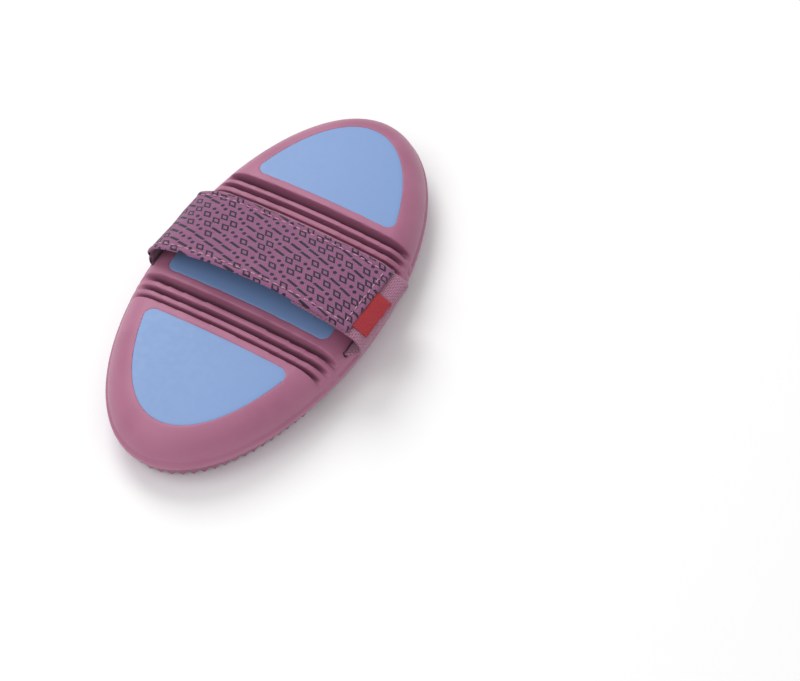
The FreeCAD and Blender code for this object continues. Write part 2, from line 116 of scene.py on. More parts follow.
# ---- sizes: ridges ----
RIDGE_HALF = 1.7
RIDGE_CORNER_R = 3.4
BAR_Y = 37.6
OUTER_RX, OUTER_RY = 41.6, 89.8
CENTRE_RX = 42.0
MIDDLE_RX, MIDDLE_RY = 29.0, 80.0
INNER_BASE, INNER_APEX, INNER_BULGE = 15.6, 69.5, 2.6
CENTRE_BAR_Y = 23.8
RING_X, RING_Y, RING_R = 31.0, 15.2, 2.8
CROSS_X = 20.3
TOOTH_PITCH = 4.0
TOOTH_DEPTH = 2.5
PLAIN_DEPTH = 0.12         # crest of the plain corners, above the plane of the tips
TEETH_VOXEL = 0.4
PIN_HOLE_R = 1.7
CENTRE_HOLES = [(0, 0), (10.8, 6.4), (10.8, -6.4), (-10.8, 6.4), (-10.8, -6.4)]
CENTRE_HOLES += [(36, 6), (36, -6), (-36, 6), (-36, -6), (22, -19.4), (-22, 19.4)]
END_HOLES = [(-7, -42), (7, -42), (0, -53.8), (20.6, -42), (-20.6, -42)]
END_HOLES += [(31, -46), (-31, -46), (5, -84.3)]

# ---- sizes: strap ----
STRAP_HALF_Y = 19.0
FABRIC = 1.0
LINING = 0.6
LOOP = 1.2
LINING_IN, LINING_LAP = 0.6, 0.15     # in from the strap's edge, and overlap with it in depth
LINING_END = 0.993         # share of the strap where the lining ends
HOOK_HALF_Y, HOOK_THICK, HOOK_LAP = 16.0, 0.5, 0.05
SLOT_MOUTH = Vector((44.8, 18.0))
SLOT_END = Vector((39.6, 15.0))
SLOT_HALF_GAP, SLOT_SPARE_Y = 1.2, 0.8
FLAP_END_X = 44.6
FLAP_LEAN = 1.03           # length along the flap for each millimetre of X, near its free end
FLAP_ROOT = [(-41.8, 15.3), (-44.0, 16.6), (-45.3, 17.8), (-45.75, 19.5), (-45.65, 21.1)]
FLAP_FRONT = [(-45.4, 22.4), (-46.1, 24.8), (-42.6, 29.5), (-35.5, 33.0), (-26.0, 35.2), (-13.0, 37.3)]
FLAP_FRONT += [(2.0, 38.5), (17.0, 38.0), (31.0, 36.3), (FLAP_END_X, 32.8)]
FLAP_REAR = [(-45.4, 22.4), (-44.3, 24.3), (-41.0, 26.6), (-35.5, 29.2), (-26.0, 31.1), (-13.0, 31.6)]
FLAP_REAR += [(2.0, 31.7), (17.0, 31.5), (31.0, 31.0), (FLAP_END_X, 28.9)]
LOOP_ROOT = [(51.2, 22.6), (50.5, 20.9), (49.1, 19.5), (47.0, 18.4), (45.2, 17.4), (41.7, 15.4)]
LOOP_FRONT = [(20.0, 36.0), (27.0, 35.1), (36.0, 33.6), (43.3, 31.7), (48.1, 29.8), (50.9, 26.2)] + LOOP_ROOT
LOOP_REAR = [(20.0, 29.7), (27.0, 29.5), (36.0, 28.7), (43.3, 27.5), (48.0, 26.4), (50.8, 24.7)] + LOOP_ROOT
SEAM_INSET = 3.0
STITCH_PITCH = 3.4
STITCH_LENGTH = 2.3
STITCH_DEPTHS = (0.17, -0.05, -0.13, -0.15, -0.13, -0.05, 0.17)    # along one stitch
FIRST_STITCH = 0.13        # share of the strap before the first stitch
END_SEAM_START = 0.5
THREAD_R = 0.24
HEM_MIDDLE, HEM_SPREAD = 0.45, 0.4    # of the raised hem, as shares of the seam's inset
PUCKER_SPREAD, PUCKER_DEPTH = 0.7, 0.8    # millimetres, and share of the hem's height
CLOTH_STEP_ALONG, CLOTH_STEP_ACROSS = 0.8, 0.7
PRINT_SLANT = 59.0         # degrees between the printed rows and the strap
PRINT_ROW, PRINT_CELL = 5.8, 3.6
PRINT_SHIFT = 0.37         # each row starts this share of a cell further along
LOZENGE_X, LOZENGE_Y = 1.6, 2.6
LOZENGE_LINE, LOZENGE_HALF_LINE = 0.82, 0.25    # place and half width of its line, as shares of its size
BAR_HALF, BAR_REACH, BAR_LEAN = 0.56, 2.45, 0.3
DOT_OFF, DOT_R_SQUARED = 1.4, 0.62
LOZENGE_SHARE, DOT_FROM = 0.45, 0.78   # below, a lozenge; above, dots; between, a bar
TAG_Y0, TAG_Y1 = -14.5, 5.5
TAG_REACH, TAG_FALL, TAG_THICK = 6.0, 2.8, 0.8
TAG_HIDDEN, TAG_RISE = 3.0, 0.2    # length under the flap, and its slope there
TAG_SWAY = 0.12

# ---- sizes: steps along outlines ----
RING_STEPS, OVAL_STEPS, ARCH_STEPS, GOTHIC_STEPS = 360, 120, 90, 30
SIDE_STEPS, EDGE_STEPS, WALL_STEPS, CORNER_STEPS = 40, 40, 20, 8


# ---- mesh helpers ----
def new_object(name, verts, faces):
    mesh = bpy.data.meshes.new(name)
    mesh.from_pydata([tuple(v) for v in verts], [], faces)
    mesh.validate()
    obj = bpy.data.objects.new(name, mesh)
    bpy.context.scene.collection.objects.link(obj)
    return obj


def outward(obj):
    """Turns all faces of a closed mesh outward."""
    bm = bmesh.new()
    bm.from_mesh(obj.data)
    bmesh.ops.recalc_face_normals(bm, faces=bm.faces)
    bm.to_mesh(obj.data)
    bm.free()
    return obj


def ring_faces(rings, per, closed=False):
    """Faces between rings of points in a row, with a cap at each end unless the row is closed."""
    faces = []
    for r in range(rings if closed else rings - 1):
        s = (r + 1) % rings
        for i in range(per):
            j = (i + 1) % per
            faces.append((r * per + i, r * per + j, s * per + j, s * per + i))
    if not closed:
        faces.append(tuple(reversed(range(per))))
        faces.append(tuple(range((rings - 1) * per, rings * per)))
    return faces


def store_places(obj, places):
    """Keeps each point's (along, across) place on the cloth, which its weave and print follow."""
    layer = obj.data.attributes.new("cloth_place", "FLOAT_VECTOR", "POINT")
    layer.data.foreach_set("vector", np.array(places, np.float32).ravel())


def prism(name, outline, z0, z1):
    """Closed prism on a flat outline of (x, y) points."""
    n = len(outline)
    verts = [(x, y, z0) for x, y in outline] + [(x, y, z1) for x, y in outline]
    faces = [tuple(reversed(range(n))), tuple(range(n, 2 * n))]
    faces += [(i, (i + 1) % n, n + (i + 1) % n, n + i) for i in range(n)]
    return outward(new_object(name, verts, faces))


def apply_modifiers(obj):
    graph = bpy.context.evaluated_depsgraph_get()
    mesh = bpy.data.meshes.new_from_object(obj.evaluated_get(graph))
    obj.modifiers.clear()
    obj.data = mesh
    return obj


def subtract(obj, tools):
    """Cuts the tools out of an object and removes them."""
    for tool in tools:
        cut = obj.modifiers.new("cut", "BOOLEAN")
        cut.operation = "DIFFERENCE"
        cut.solver = "EXACT"
        cut.object = tool
    apply_modifiers(obj)
    for tool in tools:
        bpy.data.objects.remove(tool)
    return obj


def join(name, objects):
    """One object from several meshes."""
    bm = bmesh.new()
    for obj in objects:
        bm.from_mesh(obj.data)
        bpy.data.objects.remove(obj)
    mesh = bpy.data.meshes.new(name)
    bm.to_mesh(mesh)
    bm.free()
    joined = bpy.data.objects.new(name, mesh)
    bpy.context.scene.collection.objects.link(joined)
    return joined


def moulded(obj, voxel, rounds, keep):
    """Fuses overlapping solids into one skin with soft edges, then thins its faces."""
    remesh = obj.modifiers.new("fuse", "REMESH")
    remesh.mode = "VOXEL"
    remesh.voxel_size = voxel
    soften = obj.modifiers.new("soften", "SMOOTH")
    soften.factor = 0.5
    soften.iterations = rounds
    thin = obj.modifiers.new("thin", "DECIMATE")
    thin.ratio = keep
    return apply_modifiers(obj)


def smooth_by_angle(obj, degrees):
    """Smooth shading except at edges sharper than that."""
    obj.data.polygons.foreach_set("use_smooth", [True] * len(obj.data.polygons))
    obj.data.set_sharp_from_angle(angle=math.radians(degrees))
    return obj


def finish_piece(obj, material):
    """Scales a piece from millimetres to metres and gives it its material."""
    obj.data.transform(Matrix.Scale(MM, 4))
    obj.data.materials.clear()
    obj.data.materials.append(material)
    return obj


def turned_copy(obj, name):
    """The same piece at the other end, turned half a turn about Z."""
    twin = obj.copy()
    twin.data = obj.data.copy()
    twin.name = name
    twin.data.transform(Matrix.Rotation(math.pi, 4, "Z"))
    bpy.context.scene.collection.objects.link(twin)
    return twin


# ---- outlines ----
def oval_point(rx, ry, t):
    return rx * math.cos(t), ry * math.sin(t)


def arc_points(centre, radius, a0, a1, steps):
    return [(centre[0] + radius * math.cos(a0 + (a1 - a0) * i / steps),
             centre[1] + radius * math.sin(a0 + (a1 - a0) * i / steps)) for i in range(steps + 1)]


def corner_arc(rx, ry, cy, radius):
    """Centre of the round corner on an oval's right side at that Y, and the angle of its first point."""
    inner_rx, inner_ry = rx - radius, ry - radius
    cx = inner_rx * math.sqrt(1 - (cy / inner_ry) ** 2)
    side = math.atan2(cy / inner_ry ** 2, cx / inner_rx ** 2)
    return (cx, cy), side


def oval_angle(rx, ry, centre, radius, side):
    """Where on the oval its round corner starts."""
    x = centre[0] + radius * math.cos(side)
    y = centre[1] + radius * math.sin(side)
    return math.atan2(y / ry, x / rx)


def mirrored(run):
    return [(-x, y) for x, y in reversed(run)]


def half_turned(runs):
    return [[(-x, -y) for x, y in run] for run in runs]


def straight_run(half, y):
    """Straight edge along X, from right to left."""
    return [(half - 2 * half * i / EDGE_STEPS, y) for i in range(EDGE_STEPS + 1)]


def wall_run(x, half):
    """Straight edge along Y, from front to rear."""
    return [(x, -half + 2 * half * i / WALL_STEPS) for i in range(WALL_STEPS + 1)]


def under_arc(rx, ry, t, steps):
    """Oval points round the -Y end, from the left side to angle t on the right."""
    return [oval_point(rx, ry, -math.pi - t + (2 * t + math.pi) * i / steps) for i in range(steps + 1)]


def end_runs(rx, ry, start_y, radius):
    """D outline of the -Y end as runs of points: oval, corner, straight edge, corner. Anticlockwise."""
    centre, side = corner_arc(rx, ry, -(start_y + radius), radius)
    sweep = under_arc(rx, ry, oval_angle(rx, ry, centre, radius, side), OVAL_STEPS)
    right = arc_points(centre, radius, side, math.pi / 2, CORNER_STEPS)
    return [sweep, right, straight_run(centre[0], -start_y), mirrored(right)]


def centre_runs(rx, ry, half_y, radius):
    """Outline of the centre section: right side, corner, rear edge, corner, and so on. Anticlockwise."""
    centre, side = corner_arc(rx, ry, half_y - radius, radius)
    t = oval_angle(rx, ry, centre, radius, side)
    right = [oval_point(rx, ry, -t + 2 * t * i / SIDE_STEPS) for i in range(SIDE_STEPS + 1)]
    corner = arc_points(centre, radius, side, math.pi / 2, CORNER_STEPS)
    half = [right, corner, straight_run(centre[0], half_y), mirrored(corner)]
    return half + half_turned(half)


def rectangle_runs(half_x, half_y, radius):
    cx, cy = half_x - radius, half_y - radius
    corner = arc_points((cx, cy), radius, 0, math.pi / 2, CORNER_STEPS)
    half = [wall_run(half_x, cy), corner, straight_run(cx, half_y), mirrored(corner)]
    return half + half_turned(half)


def gothic_run():
    """Pointed arch on the -Y side, from its left foot over the apex to its right foot."""
    apex = Vector((0, -INNER_APEX))
    foot = Vector((INNER_BASE, -BAR_Y))
    chord = foot - apex
    out = Vector((-chord.y, chord.x)).normalized()
    if out.x < 0:
        out = -out
    radius = chord.length ** 2 / (8 * INNER_BULGE) + INNER_BULGE / 2
    centre = (apex + foot) / 2 + out * (INNER_BULGE - radius)
    a0 = math.atan2(apex.y - centre.y, apex.x - centre.x)
    a1 = math.atan2(foot.y - centre.y, foot.x - centre.x)
    right = arc_points(centre, radius, a0, a1, GOTHIC_STEPS)
    return mirrored(right) + right[1:]


def outline_of(runs):
    """Closed outline from runs that meet end to end."""
    points = []
    for run in runs:
        points.extend(run[:-1])
    return points


# ---- rubber body ----
def oval_rings(profile):
    """Closed solid of oval rings; profile lists (half width, half length, z) from the underside up."""
    turns = [2 * math.pi * i / RING_STEPS for i in range(RING_STEPS)]
    verts = [(*oval_point(rx, ry, turn), z) for rx, ry, z in profile for turn in turns]
    return verts, ring_faces(len(profile), RING_STEPS)


def crown_z(x, y):
    """Height of the crowned back above a place on the comb."""
    return BACK_Z - x * x / (2 * CROWN_ACROSS) - y * y / (2 * CROWN_ALONG)


def dome_profile(drop, ledge):
    """Rings of the body from underside to back: round rim, crease, round shoulder, crown."""
    section = [(30, UNDER_Z), (15, UNDER_Z), (6, UNDER_Z)]
    for i in range(9):
        a = math.pi / 2 * i / 8
        section.append((RIM_LOW_R * (1 - math.sin(a)), UNDER_Z + RIM_LOW_R * (1 - math.cos(a))))
    section += [(0, 12.0), (0, RIM_Z - 0.5), (0.15, RIM_Z - 0.15), (0.6, RIM_Z)]
    section.append((ledge + RIM_CREASE, RIM_Z + 0.15))
    for i in range(19):
        a = math.radians(SHOULDER_FROM + (SHOULDER_TO - SHOULDER_FROM) * i / 18)
        z = SHOULDER_Z + SHOULDER_R * math.sin(a) - drop
        if z > RIM_Z + 0.5:
            section.append((SHOULDER_IN - SHOULDER_R * math.cos(a) + ledge - RIM_LEDGE, z))
    rows = [(HALF_W - inset, HALF_L - inset, z) for inset, z in section]
    for share in (0.85, 0.65, 0.4, 0.15):
        rx = (HALF_W - CROWN_IN) * share
        rows.append((rx, (HALF_L - CROWN_IN) * share, crown_z(rx, 0) - drop))
    return rows


def is_on_lip(place, lip):
    """True on the cut at that Y, above the web."""
    return abs(place.y - lip) < 1e-4 and place.z > WEB_TOP_Z - 1


def slice_of(name, profile, y0, y1, lips, lip_r, top=None):
    """Part of the oval solid between two Y planes, its named cut edges rounded above the web."""
    verts, faces = oval_rings(profile)
    obj = outward(new_object(name, verts, faces))
    bm = bmesh.new()
    bm.from_mesh(obj.data)
    cuts = [((0, y0, 0), (0, -1, 0)), ((0, y1, 0), (0, 1, 0))]
    if top is not None:
        cuts.append(((0, 0, top), (0, 0, 1)))
    for place, normal in cuts:
        whole = bm.verts[:] + bm.edges[:] + bm.faces[:]
        cut = bmesh.ops.bisect_plane(bm, geom=whole, plane_co=place, plane_no=normal, clear_outer=True)
        edges = [e for e in cut["geom_cut"] if isinstance(e, bmesh.types.BMEdge)]
        if edges:
            bmesh.ops.contextual_create(bm, geom=edges)
    bmesh.ops.recalc_face_normals(bm, faces=bm.faces)
    for lip in lips:
        edges = [e for e in bm.edges if all(is_on_lip(v.co, lip) for v in e.verts)]
        bmesh.ops.bevel(bm, geom=edges, offset=lip_r, segments=4, profile=0.5, affect="EDGES",
                        clamp_overlap=True)
    bm.to_mesh(obj.data)
    bm.free()
    return obj


def window_cutter(runs):
    """Opening that shows a back plate."""
    return prism("window", outline_of(runs), BACK_Z - WINDOW_DEPTH, BACK_Z + CUT_PAST)


def bed_cutter(runs):
    """Room for a base plate."""
    return prism("bed", outline_of(runs), UNDER_Z - CUT_PAST, UNDER_Z + BASE_THICK)


def hinge_pleats():
    """The two upright folds of rubber between the grooves of a hinge."""
    middle = -(END_START + CENTRE_HALF) / 2
    profile = dome_profile(PLEAT_DROP, -PLEAT_PROUD)
    pleats = []
    for side in (-1, 1):
        y = middle + side * PLEAT_OFFSET
        y0, y1 = y - PLEAT_THICK / 2, y + PLEAT_THICK / 2
        pleats.append(slice_of("pleat", profile, y0, y1, [y0, y1], PLEAT_THICK * PLEAT_ROUND))
    return pleats


def slot_tool(side):
    """Slanting slot in the shoulder where a strap goes in."""
    along = (SLOT_MOUTH - SLOT_END).normalized()
    across = Vector((-along.y, along.x)) * SLOT_HALF_GAP
    a, b = SLOT_END - along, SLOT_MOUTH + along * 4
    section = [a - across, b - across, b + across, a + across]
    half = STRAP_HALF_Y + SLOT_SPARE_Y
    verts = [(side * p.x, y, p.y) for y in (-half, half) for p in section]
    faces = [(3, 2, 1, 0), (4, 5, 6, 7), (0, 1, 5, 4), (1, 2, 6, 5), (2, 3, 7, 6), (3, 0, 4, 7)]
    return outward(new_object("slot", verts, faces))


def open_cut(obj):
    """Removes everything past the middle, leaving the cut open where the other half meets it."""
    bm = bmesh.new()
    bm.from_mesh(obj.data)
    whole = bm.verts[:] + bm.edges[:] + bm.faces[:]
    bmesh.ops.bisect_plane(bm, geom=whole, plane_co=(0, 0, 0), plane_no=(0, 1, 0), clear_outer=True)
    bm.to_mesh(obj.data)
    bm.free()
    return obj


def body_half():
    """Rubber from the -Y end to the middle of the comb, with its hinge pleats, windows and slots."""
    full = dome_profile(0, RIM_LEDGE)
    end = slice_of("end", full, -HALF_L - 1, -END_START, [-END_START], LIP_R)
    centre = slice_of("centre", full, -CENTRE_HALF, CENTRE_HALF * 0.5, [-CENTRE_HALF], LIP_R)
    web = slice_of("web", full, -END_START - WEB_LAP, -CENTRE_HALF + WEB_LAP, [], 0, top=WEB_TOP_Z)
    pleats = hinge_pleats()
    rx, ry = PANEL_RX - WINDOW_INSET, PANEL_RY - WINDOW_INSET
    base_rx, base_ry = HALF_W - BASE_INSET, HALF_L - BASE_INSET
    window = window_cutter(end_runs(rx, ry, END_PANEL_Y + WINDOW_INSET, END_PANEL_R))
    bed = bed_cutter(end_runs(base_rx, base_ry, BASE_END_START, BASE_R))
    subtract(end, [window, bed])
    window = window_cutter(centre_runs(rx, ry, CENTRE_PANEL_Y - WINDOW_INSET, CENTRE_PANEL_R))
    bed = bed_cutter(centre_runs(base_rx, base_ry, BASE_CENTRE_HALF, BASE_R))
    subtract(centre, [window, bed, slot_tool(-1), slot_tool(1)])
    body = join("body", [end, centre, web] + pleats)
    moulded(body, BODY_VOXEL, rounds=3, keep=0.7)
    return open_cut(body)


# ---- ridges ----
def resample(points, count):
    """Evenly spaced points along a polyline, and its length."""
    p = np.array(points, float)
    s = np.concatenate([[0], np.cumsum(np.linalg.norm(np.diff(p, axis=0), axis=1))])
    at = np.linspace(0, s[-1], count + 1)
    return np.stack([np.interp(at, s, p[:, 0]), np.interp(at, s, p[:, 1])], 1), s[-1]


def toothed_run(points):
    """Points along a run and the depth of the crest below the tips: a tooth every few millimetres."""
    per_tooth = 10
    _, length = resample(points, per_tooth)
    teeth = max(1, round(length / TOOTH_PITCH))
    spots, _ = resample(points, teeth * per_tooth)
    phase = (np.arange(len(spots)) % per_tooth) / per_tooth
    return spots, TOOTH_DEPTH * (1 - np.abs(1 - 2 * phase))


def plain_run(points):
    """Points along a run whose crest has no teeth."""
    spots, _ = resample(points, 6)
    return spots, np.full(len(spots), PLAIN_DEPTH)


def ridge_path(runs, closed):
    """Joins runs into one path. The corners between the long runs are plain, the rest carries teeth."""
    spots, depths = [], []
    for run in runs:
        p, d = toothed_run(run) if len(run) > CORNER_STEPS + 1 else plain_run(run)
        spots.append(p[:-1])
        depths.append(d[:-1])
        last = (p[-1:], d[-1:])
    if not closed:
        spots.append(last[0])
        depths.append(last[1])
    return np.concatenate(spots), np.concatenate(depths)


def ridge_section(depth):
    """Half section of a ridge as (distance from the middle, z): crest, drafted wall, filleted foot."""
    c = RIDGE_HALF
    return [(c - 0.2, depth), (c, depth + 0.25), (c + 0.05, depth + 0.6), (c + 0.2, 5.6), (c + 0.35, 6.5),
            (c + 0.5, 7.2), (c + 0.8, ROOT_Z + 0.02), (c + 0.8, ROOT_Z + 0.7)]


def ridge(name, runs, closed):
    """Wall of rubber along a path, its crest cut into teeth."""
    spots, depths = ridge_path(runs, closed)
    ahead = np.roll(spots, -1, 0) if closed else np.vstack([spots[1:], 2 * spots[-1:] - spots[-2:-1]])
    behind = np.roll(spots, 1, 0) if closed else np.vstack([2 * spots[:1] - spots[1:2], spots[:-1]])
    heading = ahead - behind
    heading /= np.linalg.norm(heading, axis=1)[:, None]
    normal = np.stack([-heading[:, 1], heading[:, 0]], 1)
    verts = []
    for spot, out, depth in zip(spots, normal, depths):
        half = ridge_section(depth)
        section = [(-d, z) for d, z in reversed(half)] + half
        for d, z in section:
            verts.append((spot[0] + out[0] * d, spot[1] + out[1] * d, z))
    return outward(new_object(name, verts, ring_faces(len(spots), len(section), closed)))


def skin(runs, holes):
    """Rubber floor with its blind pin holes."""
    floor = prism("floor", outline_of(runs), ROOT_Z, UNDER_Z + SKIN_LAP)
    drills = []
    for hole in holes:
        circle = arc_points(hole, PIN_HOLE_R, 0, 2 * math.pi, 32)[:-1]
        drills.append(prism("drill", circle, ROOT_Z - 1, UNDER_Z + 1))
    return subtract(floor, [join("drills", drills)])


def end_teeth():
    """Floor and ridges of the -Y end."""
    floor = end_runs(HALF_W - SKIN_INSET, HALF_L - SKIN_INSET, END_SKIN, SKIN_R)
    foot = math.sqrt(1 - (BAR_Y / MIDDLE_RY) ** 2) * MIDDLE_RX
    foot_angle = math.atan2(-BAR_Y / MIDDLE_RY, foot / MIDDLE_RX)
    arch = under_arc(MIDDLE_RX, MIDDLE_RY, foot_angle, ARCH_STEPS)
    parts = [skin(floor, END_HOLES)]
    parts.append(ridge("outer", end_runs(OUTER_RX, OUTER_RY, BAR_Y, RIDGE_CORNER_R), True))
    parts.append(ridge("middle", [arch], False))
    parts.append(ridge("inner", [gothic_run()], False))
    return moulded(join("end_teeth", parts), TEETH_VOXEL, rounds=1, keep=0.6)


def centre_teeth():
    """Floor and ridges of the centre section."""
    floor = centre_runs(HALF_W - SKIN_INSET, HALF_L - SKIN_INSET, CENTRE_SKIN, SKIN_R)
    parts = [skin(floor, CENTRE_HOLES)]
    parts.append(ridge("outer", centre_runs(CENTRE_RX, OUTER_RY, CENTRE_BAR_Y, RIDGE_CORNER_R), True))
    parts.append(ridge("ring", rectangle_runs(RING_X, RING_Y, RING_R), True))
    for x in (-CROSS_X, CROSS_X):
        parts.append(ridge("cross", [wall_run(x, RING_Y)], False))
    return moulded(join("centre_teeth", parts), TEETH_VOXEL, rounds=1, keep=0.6)


# ---- plates ----
def panel(name, outline):
    """Plate that follows the crowned back, with a softly rounded edge."""
    hub = sum((Vector(point) for point in outline), Vector((0, 0))) / len(outline)
    rings = [(0.0, 1, -PANEL_THICK), (0.0, 1, -0.4), (0.06, 1, -0.15), (0.18, 1, -0.04), (0.4, 1, 0.0)]
    rings += [(0.4, share, 0.0) for share in (0.93, 0.82, 0.68, 0.52, 0.35, 0.18)]
    verts = []
    for inset, share, rise in rings:
        for point in outline:
            spoke = Vector(point) - hub
            spot = hub + spoke.normalized() * ((spoke.length - inset) * share)
            verts.append((spot.x, spot.y, crown_z(spot.x, spot.y) - PANEL_SINK + rise))
    faces = ring_faces(len(rings), len(outline))
    return smooth_by_angle(outward(new_object(name, verts, faces)), 60)


# ---- strap ----
def spline(points, count):
    """Evenly spaced points on a smooth curve through the given ones, and its length."""
    p = np.array(points, float)
    before, after = 2 * p[0] - p[1], 2 * p[-1] - p[-2]
    q = np.vstack([before, p, after])
    fine = []
    for i in range(1, len(q) - 2):
        a, b, c, d = q[i - 1], q[i], q[i + 1], q[i + 2]
        for t in np.linspace(0, 1, 24, endpoint=False):
            fine.append(0.5 * (2 * b + (c - a) * t + (2 * a - 5 * b + 4 * c - d) * t ** 2
                               + (3 * b - a - 3 * c + d) * t ** 3))
    fine.append(q[-2])
    return resample(fine, count)


class Ribbon:
    """Smooth surface of a strap between its front and rear edges, with points at (along, across, below)."""

    def __init__(self, front, rear, along):
        self.front, self.length = spline(front, along)
        self.rear, _ = spline(rear, along)
        self.along = along

    def point(self, share, y, below):
        """share runs 0..1 along the strap, y is the place across it, below is the depth under its surface."""
        k = share * self.along
        i = int(min(max(math.floor(k), 0), self.along - 1))
        f = k - i
        w = (y + STRAP_HALF_Y) / (2 * STRAP_HALF_Y)
        here = self.row(i, w) * (1 - f) + self.row(i + 1, w) * f
        ahead = self.row(min(i + 3, self.along), w) - self.row(max(i - 2, 0), w)
        ahead /= np.linalg.norm(ahead)
        return Vector((here[0] + ahead[1] * below, y, here[1] - ahead[0] * below))

    def row(self, i, w):
        return self.front[i] * (1 - w) + self.rear[i] * w


def edge_pinch(near, edge_r):
    """Share of the full thickness at that distance from the cloth's edge."""
    return 1.0 if near >= edge_r else math.sqrt(max(0.06, 1 - (1 - near / edge_r) ** 2))


def hem_relief(near, at, hem):
    """How far the folded hem stands up, less the pucker along its seam."""
    lift = hem * math.exp(-((near - SEAM_INSET * HEM_MIDDLE) / (SEAM_INSET * HEM_SPREAD)) ** 2)
    seam = math.exp(-((near - SEAM_INSET) / PUCKER_SPREAD) ** 2)
    stitch = 0.75 + 0.25 * math.cos(at / STITCH_PITCH * 2 * math.pi)
    return lift - hem * PUCKER_DEPTH * seam * stitch


def ripples(share, y):
    """Uneven ripples of soft cloth, between -1.6 and 1.6."""
    return math.sin(share * 23 + y * 0.21) + 0.6 * math.sin(share * 51 - y * 0.37 + 1.7)


def strip_faces(columns, rows):
    """Faces of a closed strip whose points run column by column, upper face first."""
    under = rows + 1
    per = 2 * under
    faces = []
    for i in range(columns):
        a, b = i * per, (i + 1) * per
        for j in range(rows):
            faces.append((a + j, b + j, b + j + 1, a + j + 1))
            faces.append((a + under + j + 1, b + under + j + 1, b + under + j, a + under + j))
        faces.append((a, a + under, b + under, b))
        faces.append((a + rows, b + rows, b + under + rows, a + under + rows))
    for a in (0, columns * per):
        for j in range(rows):
            faces.append((a + j, a + j + 1, a + under + j + 1, a + under + j))
    return faces


def cloth_strip(name, ribbon, half_y, top, bottom, s0=0.0, s1=1.0, hem=0.0, ripple=0.0, edge_r=0.5):
    """Closed strip of cloth between two depths, with rounded edges, a raised hem and small ripples."""
    reach = (s1 - s0) * ribbon.length
    columns = int(reach / CLOTH_STEP_ALONG)
    rows = int(2 * half_y / CLOTH_STEP_ACROSS)
    verts, places = [], []
    for i in range(columns + 1):
        share = s0 + (s1 - s0) * i / columns
        end_gap = min(i, columns - i) * reach / columns
        for upper in (True, False):
            for j in range(rows + 1):
                y = -half_y + 2 * half_y * j / rows
                near = min(min(j, rows - j) * 2 * half_y / rows, end_gap)
                middle = (top + bottom) / 2 + ripple * ripples(share, y)
                offset = (bottom - top) / 2 * edge_pinch(near, edge_r)
                relief = hem_relief(near, share * ribbon.length, hem)
                verts.append(ribbon.point(share, y, middle - offset - relief if upper else middle + offset))
                places.append((share * ribbon.length, y, 0.0))
    obj = outward(new_object(name, verts, strip_faces(columns, rows)))
    store_places(obj, places)
    return smooth_by_angle(obj, 60)


def thread(points, radius):
    """One stitch: a short soft-ended tube through the given points."""
    sides = 8
    p = [Vector(q) for q in points]
    verts = []
    count = len(p)
    for i, q in enumerate(p):
        ahead = (p[min(i + 1, count - 1)] - p[max(i - 1, 0)]).normalized()
        side = ahead.cross(Vector((0, 0, 1)))
        side = side.normalized() if side.length > 1e-3 else Vector((1, 0, 0))
        up = side.cross(ahead)
        u = 2 * i / (count - 1) - 1
        r = radius * math.sqrt(max(0.05, 1 - u ** 6))
        for k in range(sides):
            a = 2 * math.pi * k / sides
            verts.append(q + side * (math.cos(a) * r) + up * (math.sin(a) * r))
    return verts, ring_faces(count, sides)


def stitch_paths(ribbon):
    """Points along every stitch: two long seams, then one across the free end."""
    steps = [(STITCH_LENGTH * k / (len(STITCH_DEPTHS) - 1), d) for k, d in enumerate(STITCH_DEPTHS)]
    seam_y = STRAP_HALF_Y - SEAM_INSET
    end_share = 1 - SEAM_INSET / ribbon.length
    start = FIRST_STITCH * ribbon.length
    paths = []
    for y in (-seam_y, seam_y):
        for i in range(int((end_share * ribbon.length - start) / STITCH_PITCH)):
            at = start + i * STITCH_PITCH
            paths.append([ribbon.point((at + step) / ribbon.length, y, d) for step, d in steps])
    across = 2 * seam_y
    count = int(across / STITCH_PITCH)
    spare = (across - count * STITCH_PITCH) / 2
    for i in range(count):
        at = -seam_y + spare + i * STITCH_PITCH + END_SEAM_START
        paths.append([ribbon.point(end_share, at + step, d) for step, d in steps])
    return paths


def stitch_rows(name, ribbon):
    """All the stitches of the strap as one mesh."""
    verts, faces = [], []
    for path in stitch_paths(ribbon):
        base = len(verts)
        stitch_verts, stitch_faces = thread(path, THREAD_R)
        verts.extend(stitch_verts)
        faces.extend([tuple(base + i for i in face) for face in stitch_faces])
    return smooth_by_angle(outward(new_object(name, verts, faces)), 80)


def tag_mesh(name, ribbon):
    """Folded tape that sticks out from under the free end, with a soft fold at its outer edge."""
    steps, rows = 14, 24
    verts, places = [], []
    for j in range(rows + 1):
        y = TAG_Y0 + (TAG_Y1 - TAG_Y0) * j / rows
        root = ribbon.point(1.0, y, FABRIC)
        reach = TAG_REACH + TAG_SWAY * math.sin(j * 0.9)
        loop = []
        for i in range(steps + 1):
            u = -TAG_HIDDEN + (reach + TAG_HIDDEN) * i / steps
            fall = TAG_FALL * (max(u, 0) / reach) ** 1.25 + TAG_RISE * min(u, 0)
            loop.append((root.x + u, root.z - fall - TAG_SWAY * math.sin(j * 0.5 + 1)))
        upper = [(x, z + TAG_THICK / 2) for x, z in loop]
        tip_x, tip_z = loop[-1]
        nose = [(tip_x + 0.3, tip_z + 0.2), (tip_x + 0.42, tip_z), (tip_x + 0.3, tip_z - 0.2)]
        lower = [(x, z - TAG_THICK / 2) for x, z in reversed(loop)]
        section = upper + nose + lower
        for x, z in section:
            verts.append((x, y, z))
            places.append((x - FLAP_END_X, y, 0.0))
    obj = outward(new_object(name, verts, ring_faces(rows + 1, len(section))))
    store_places(obj, places)
    return smooth_by_angle(obj, 50)


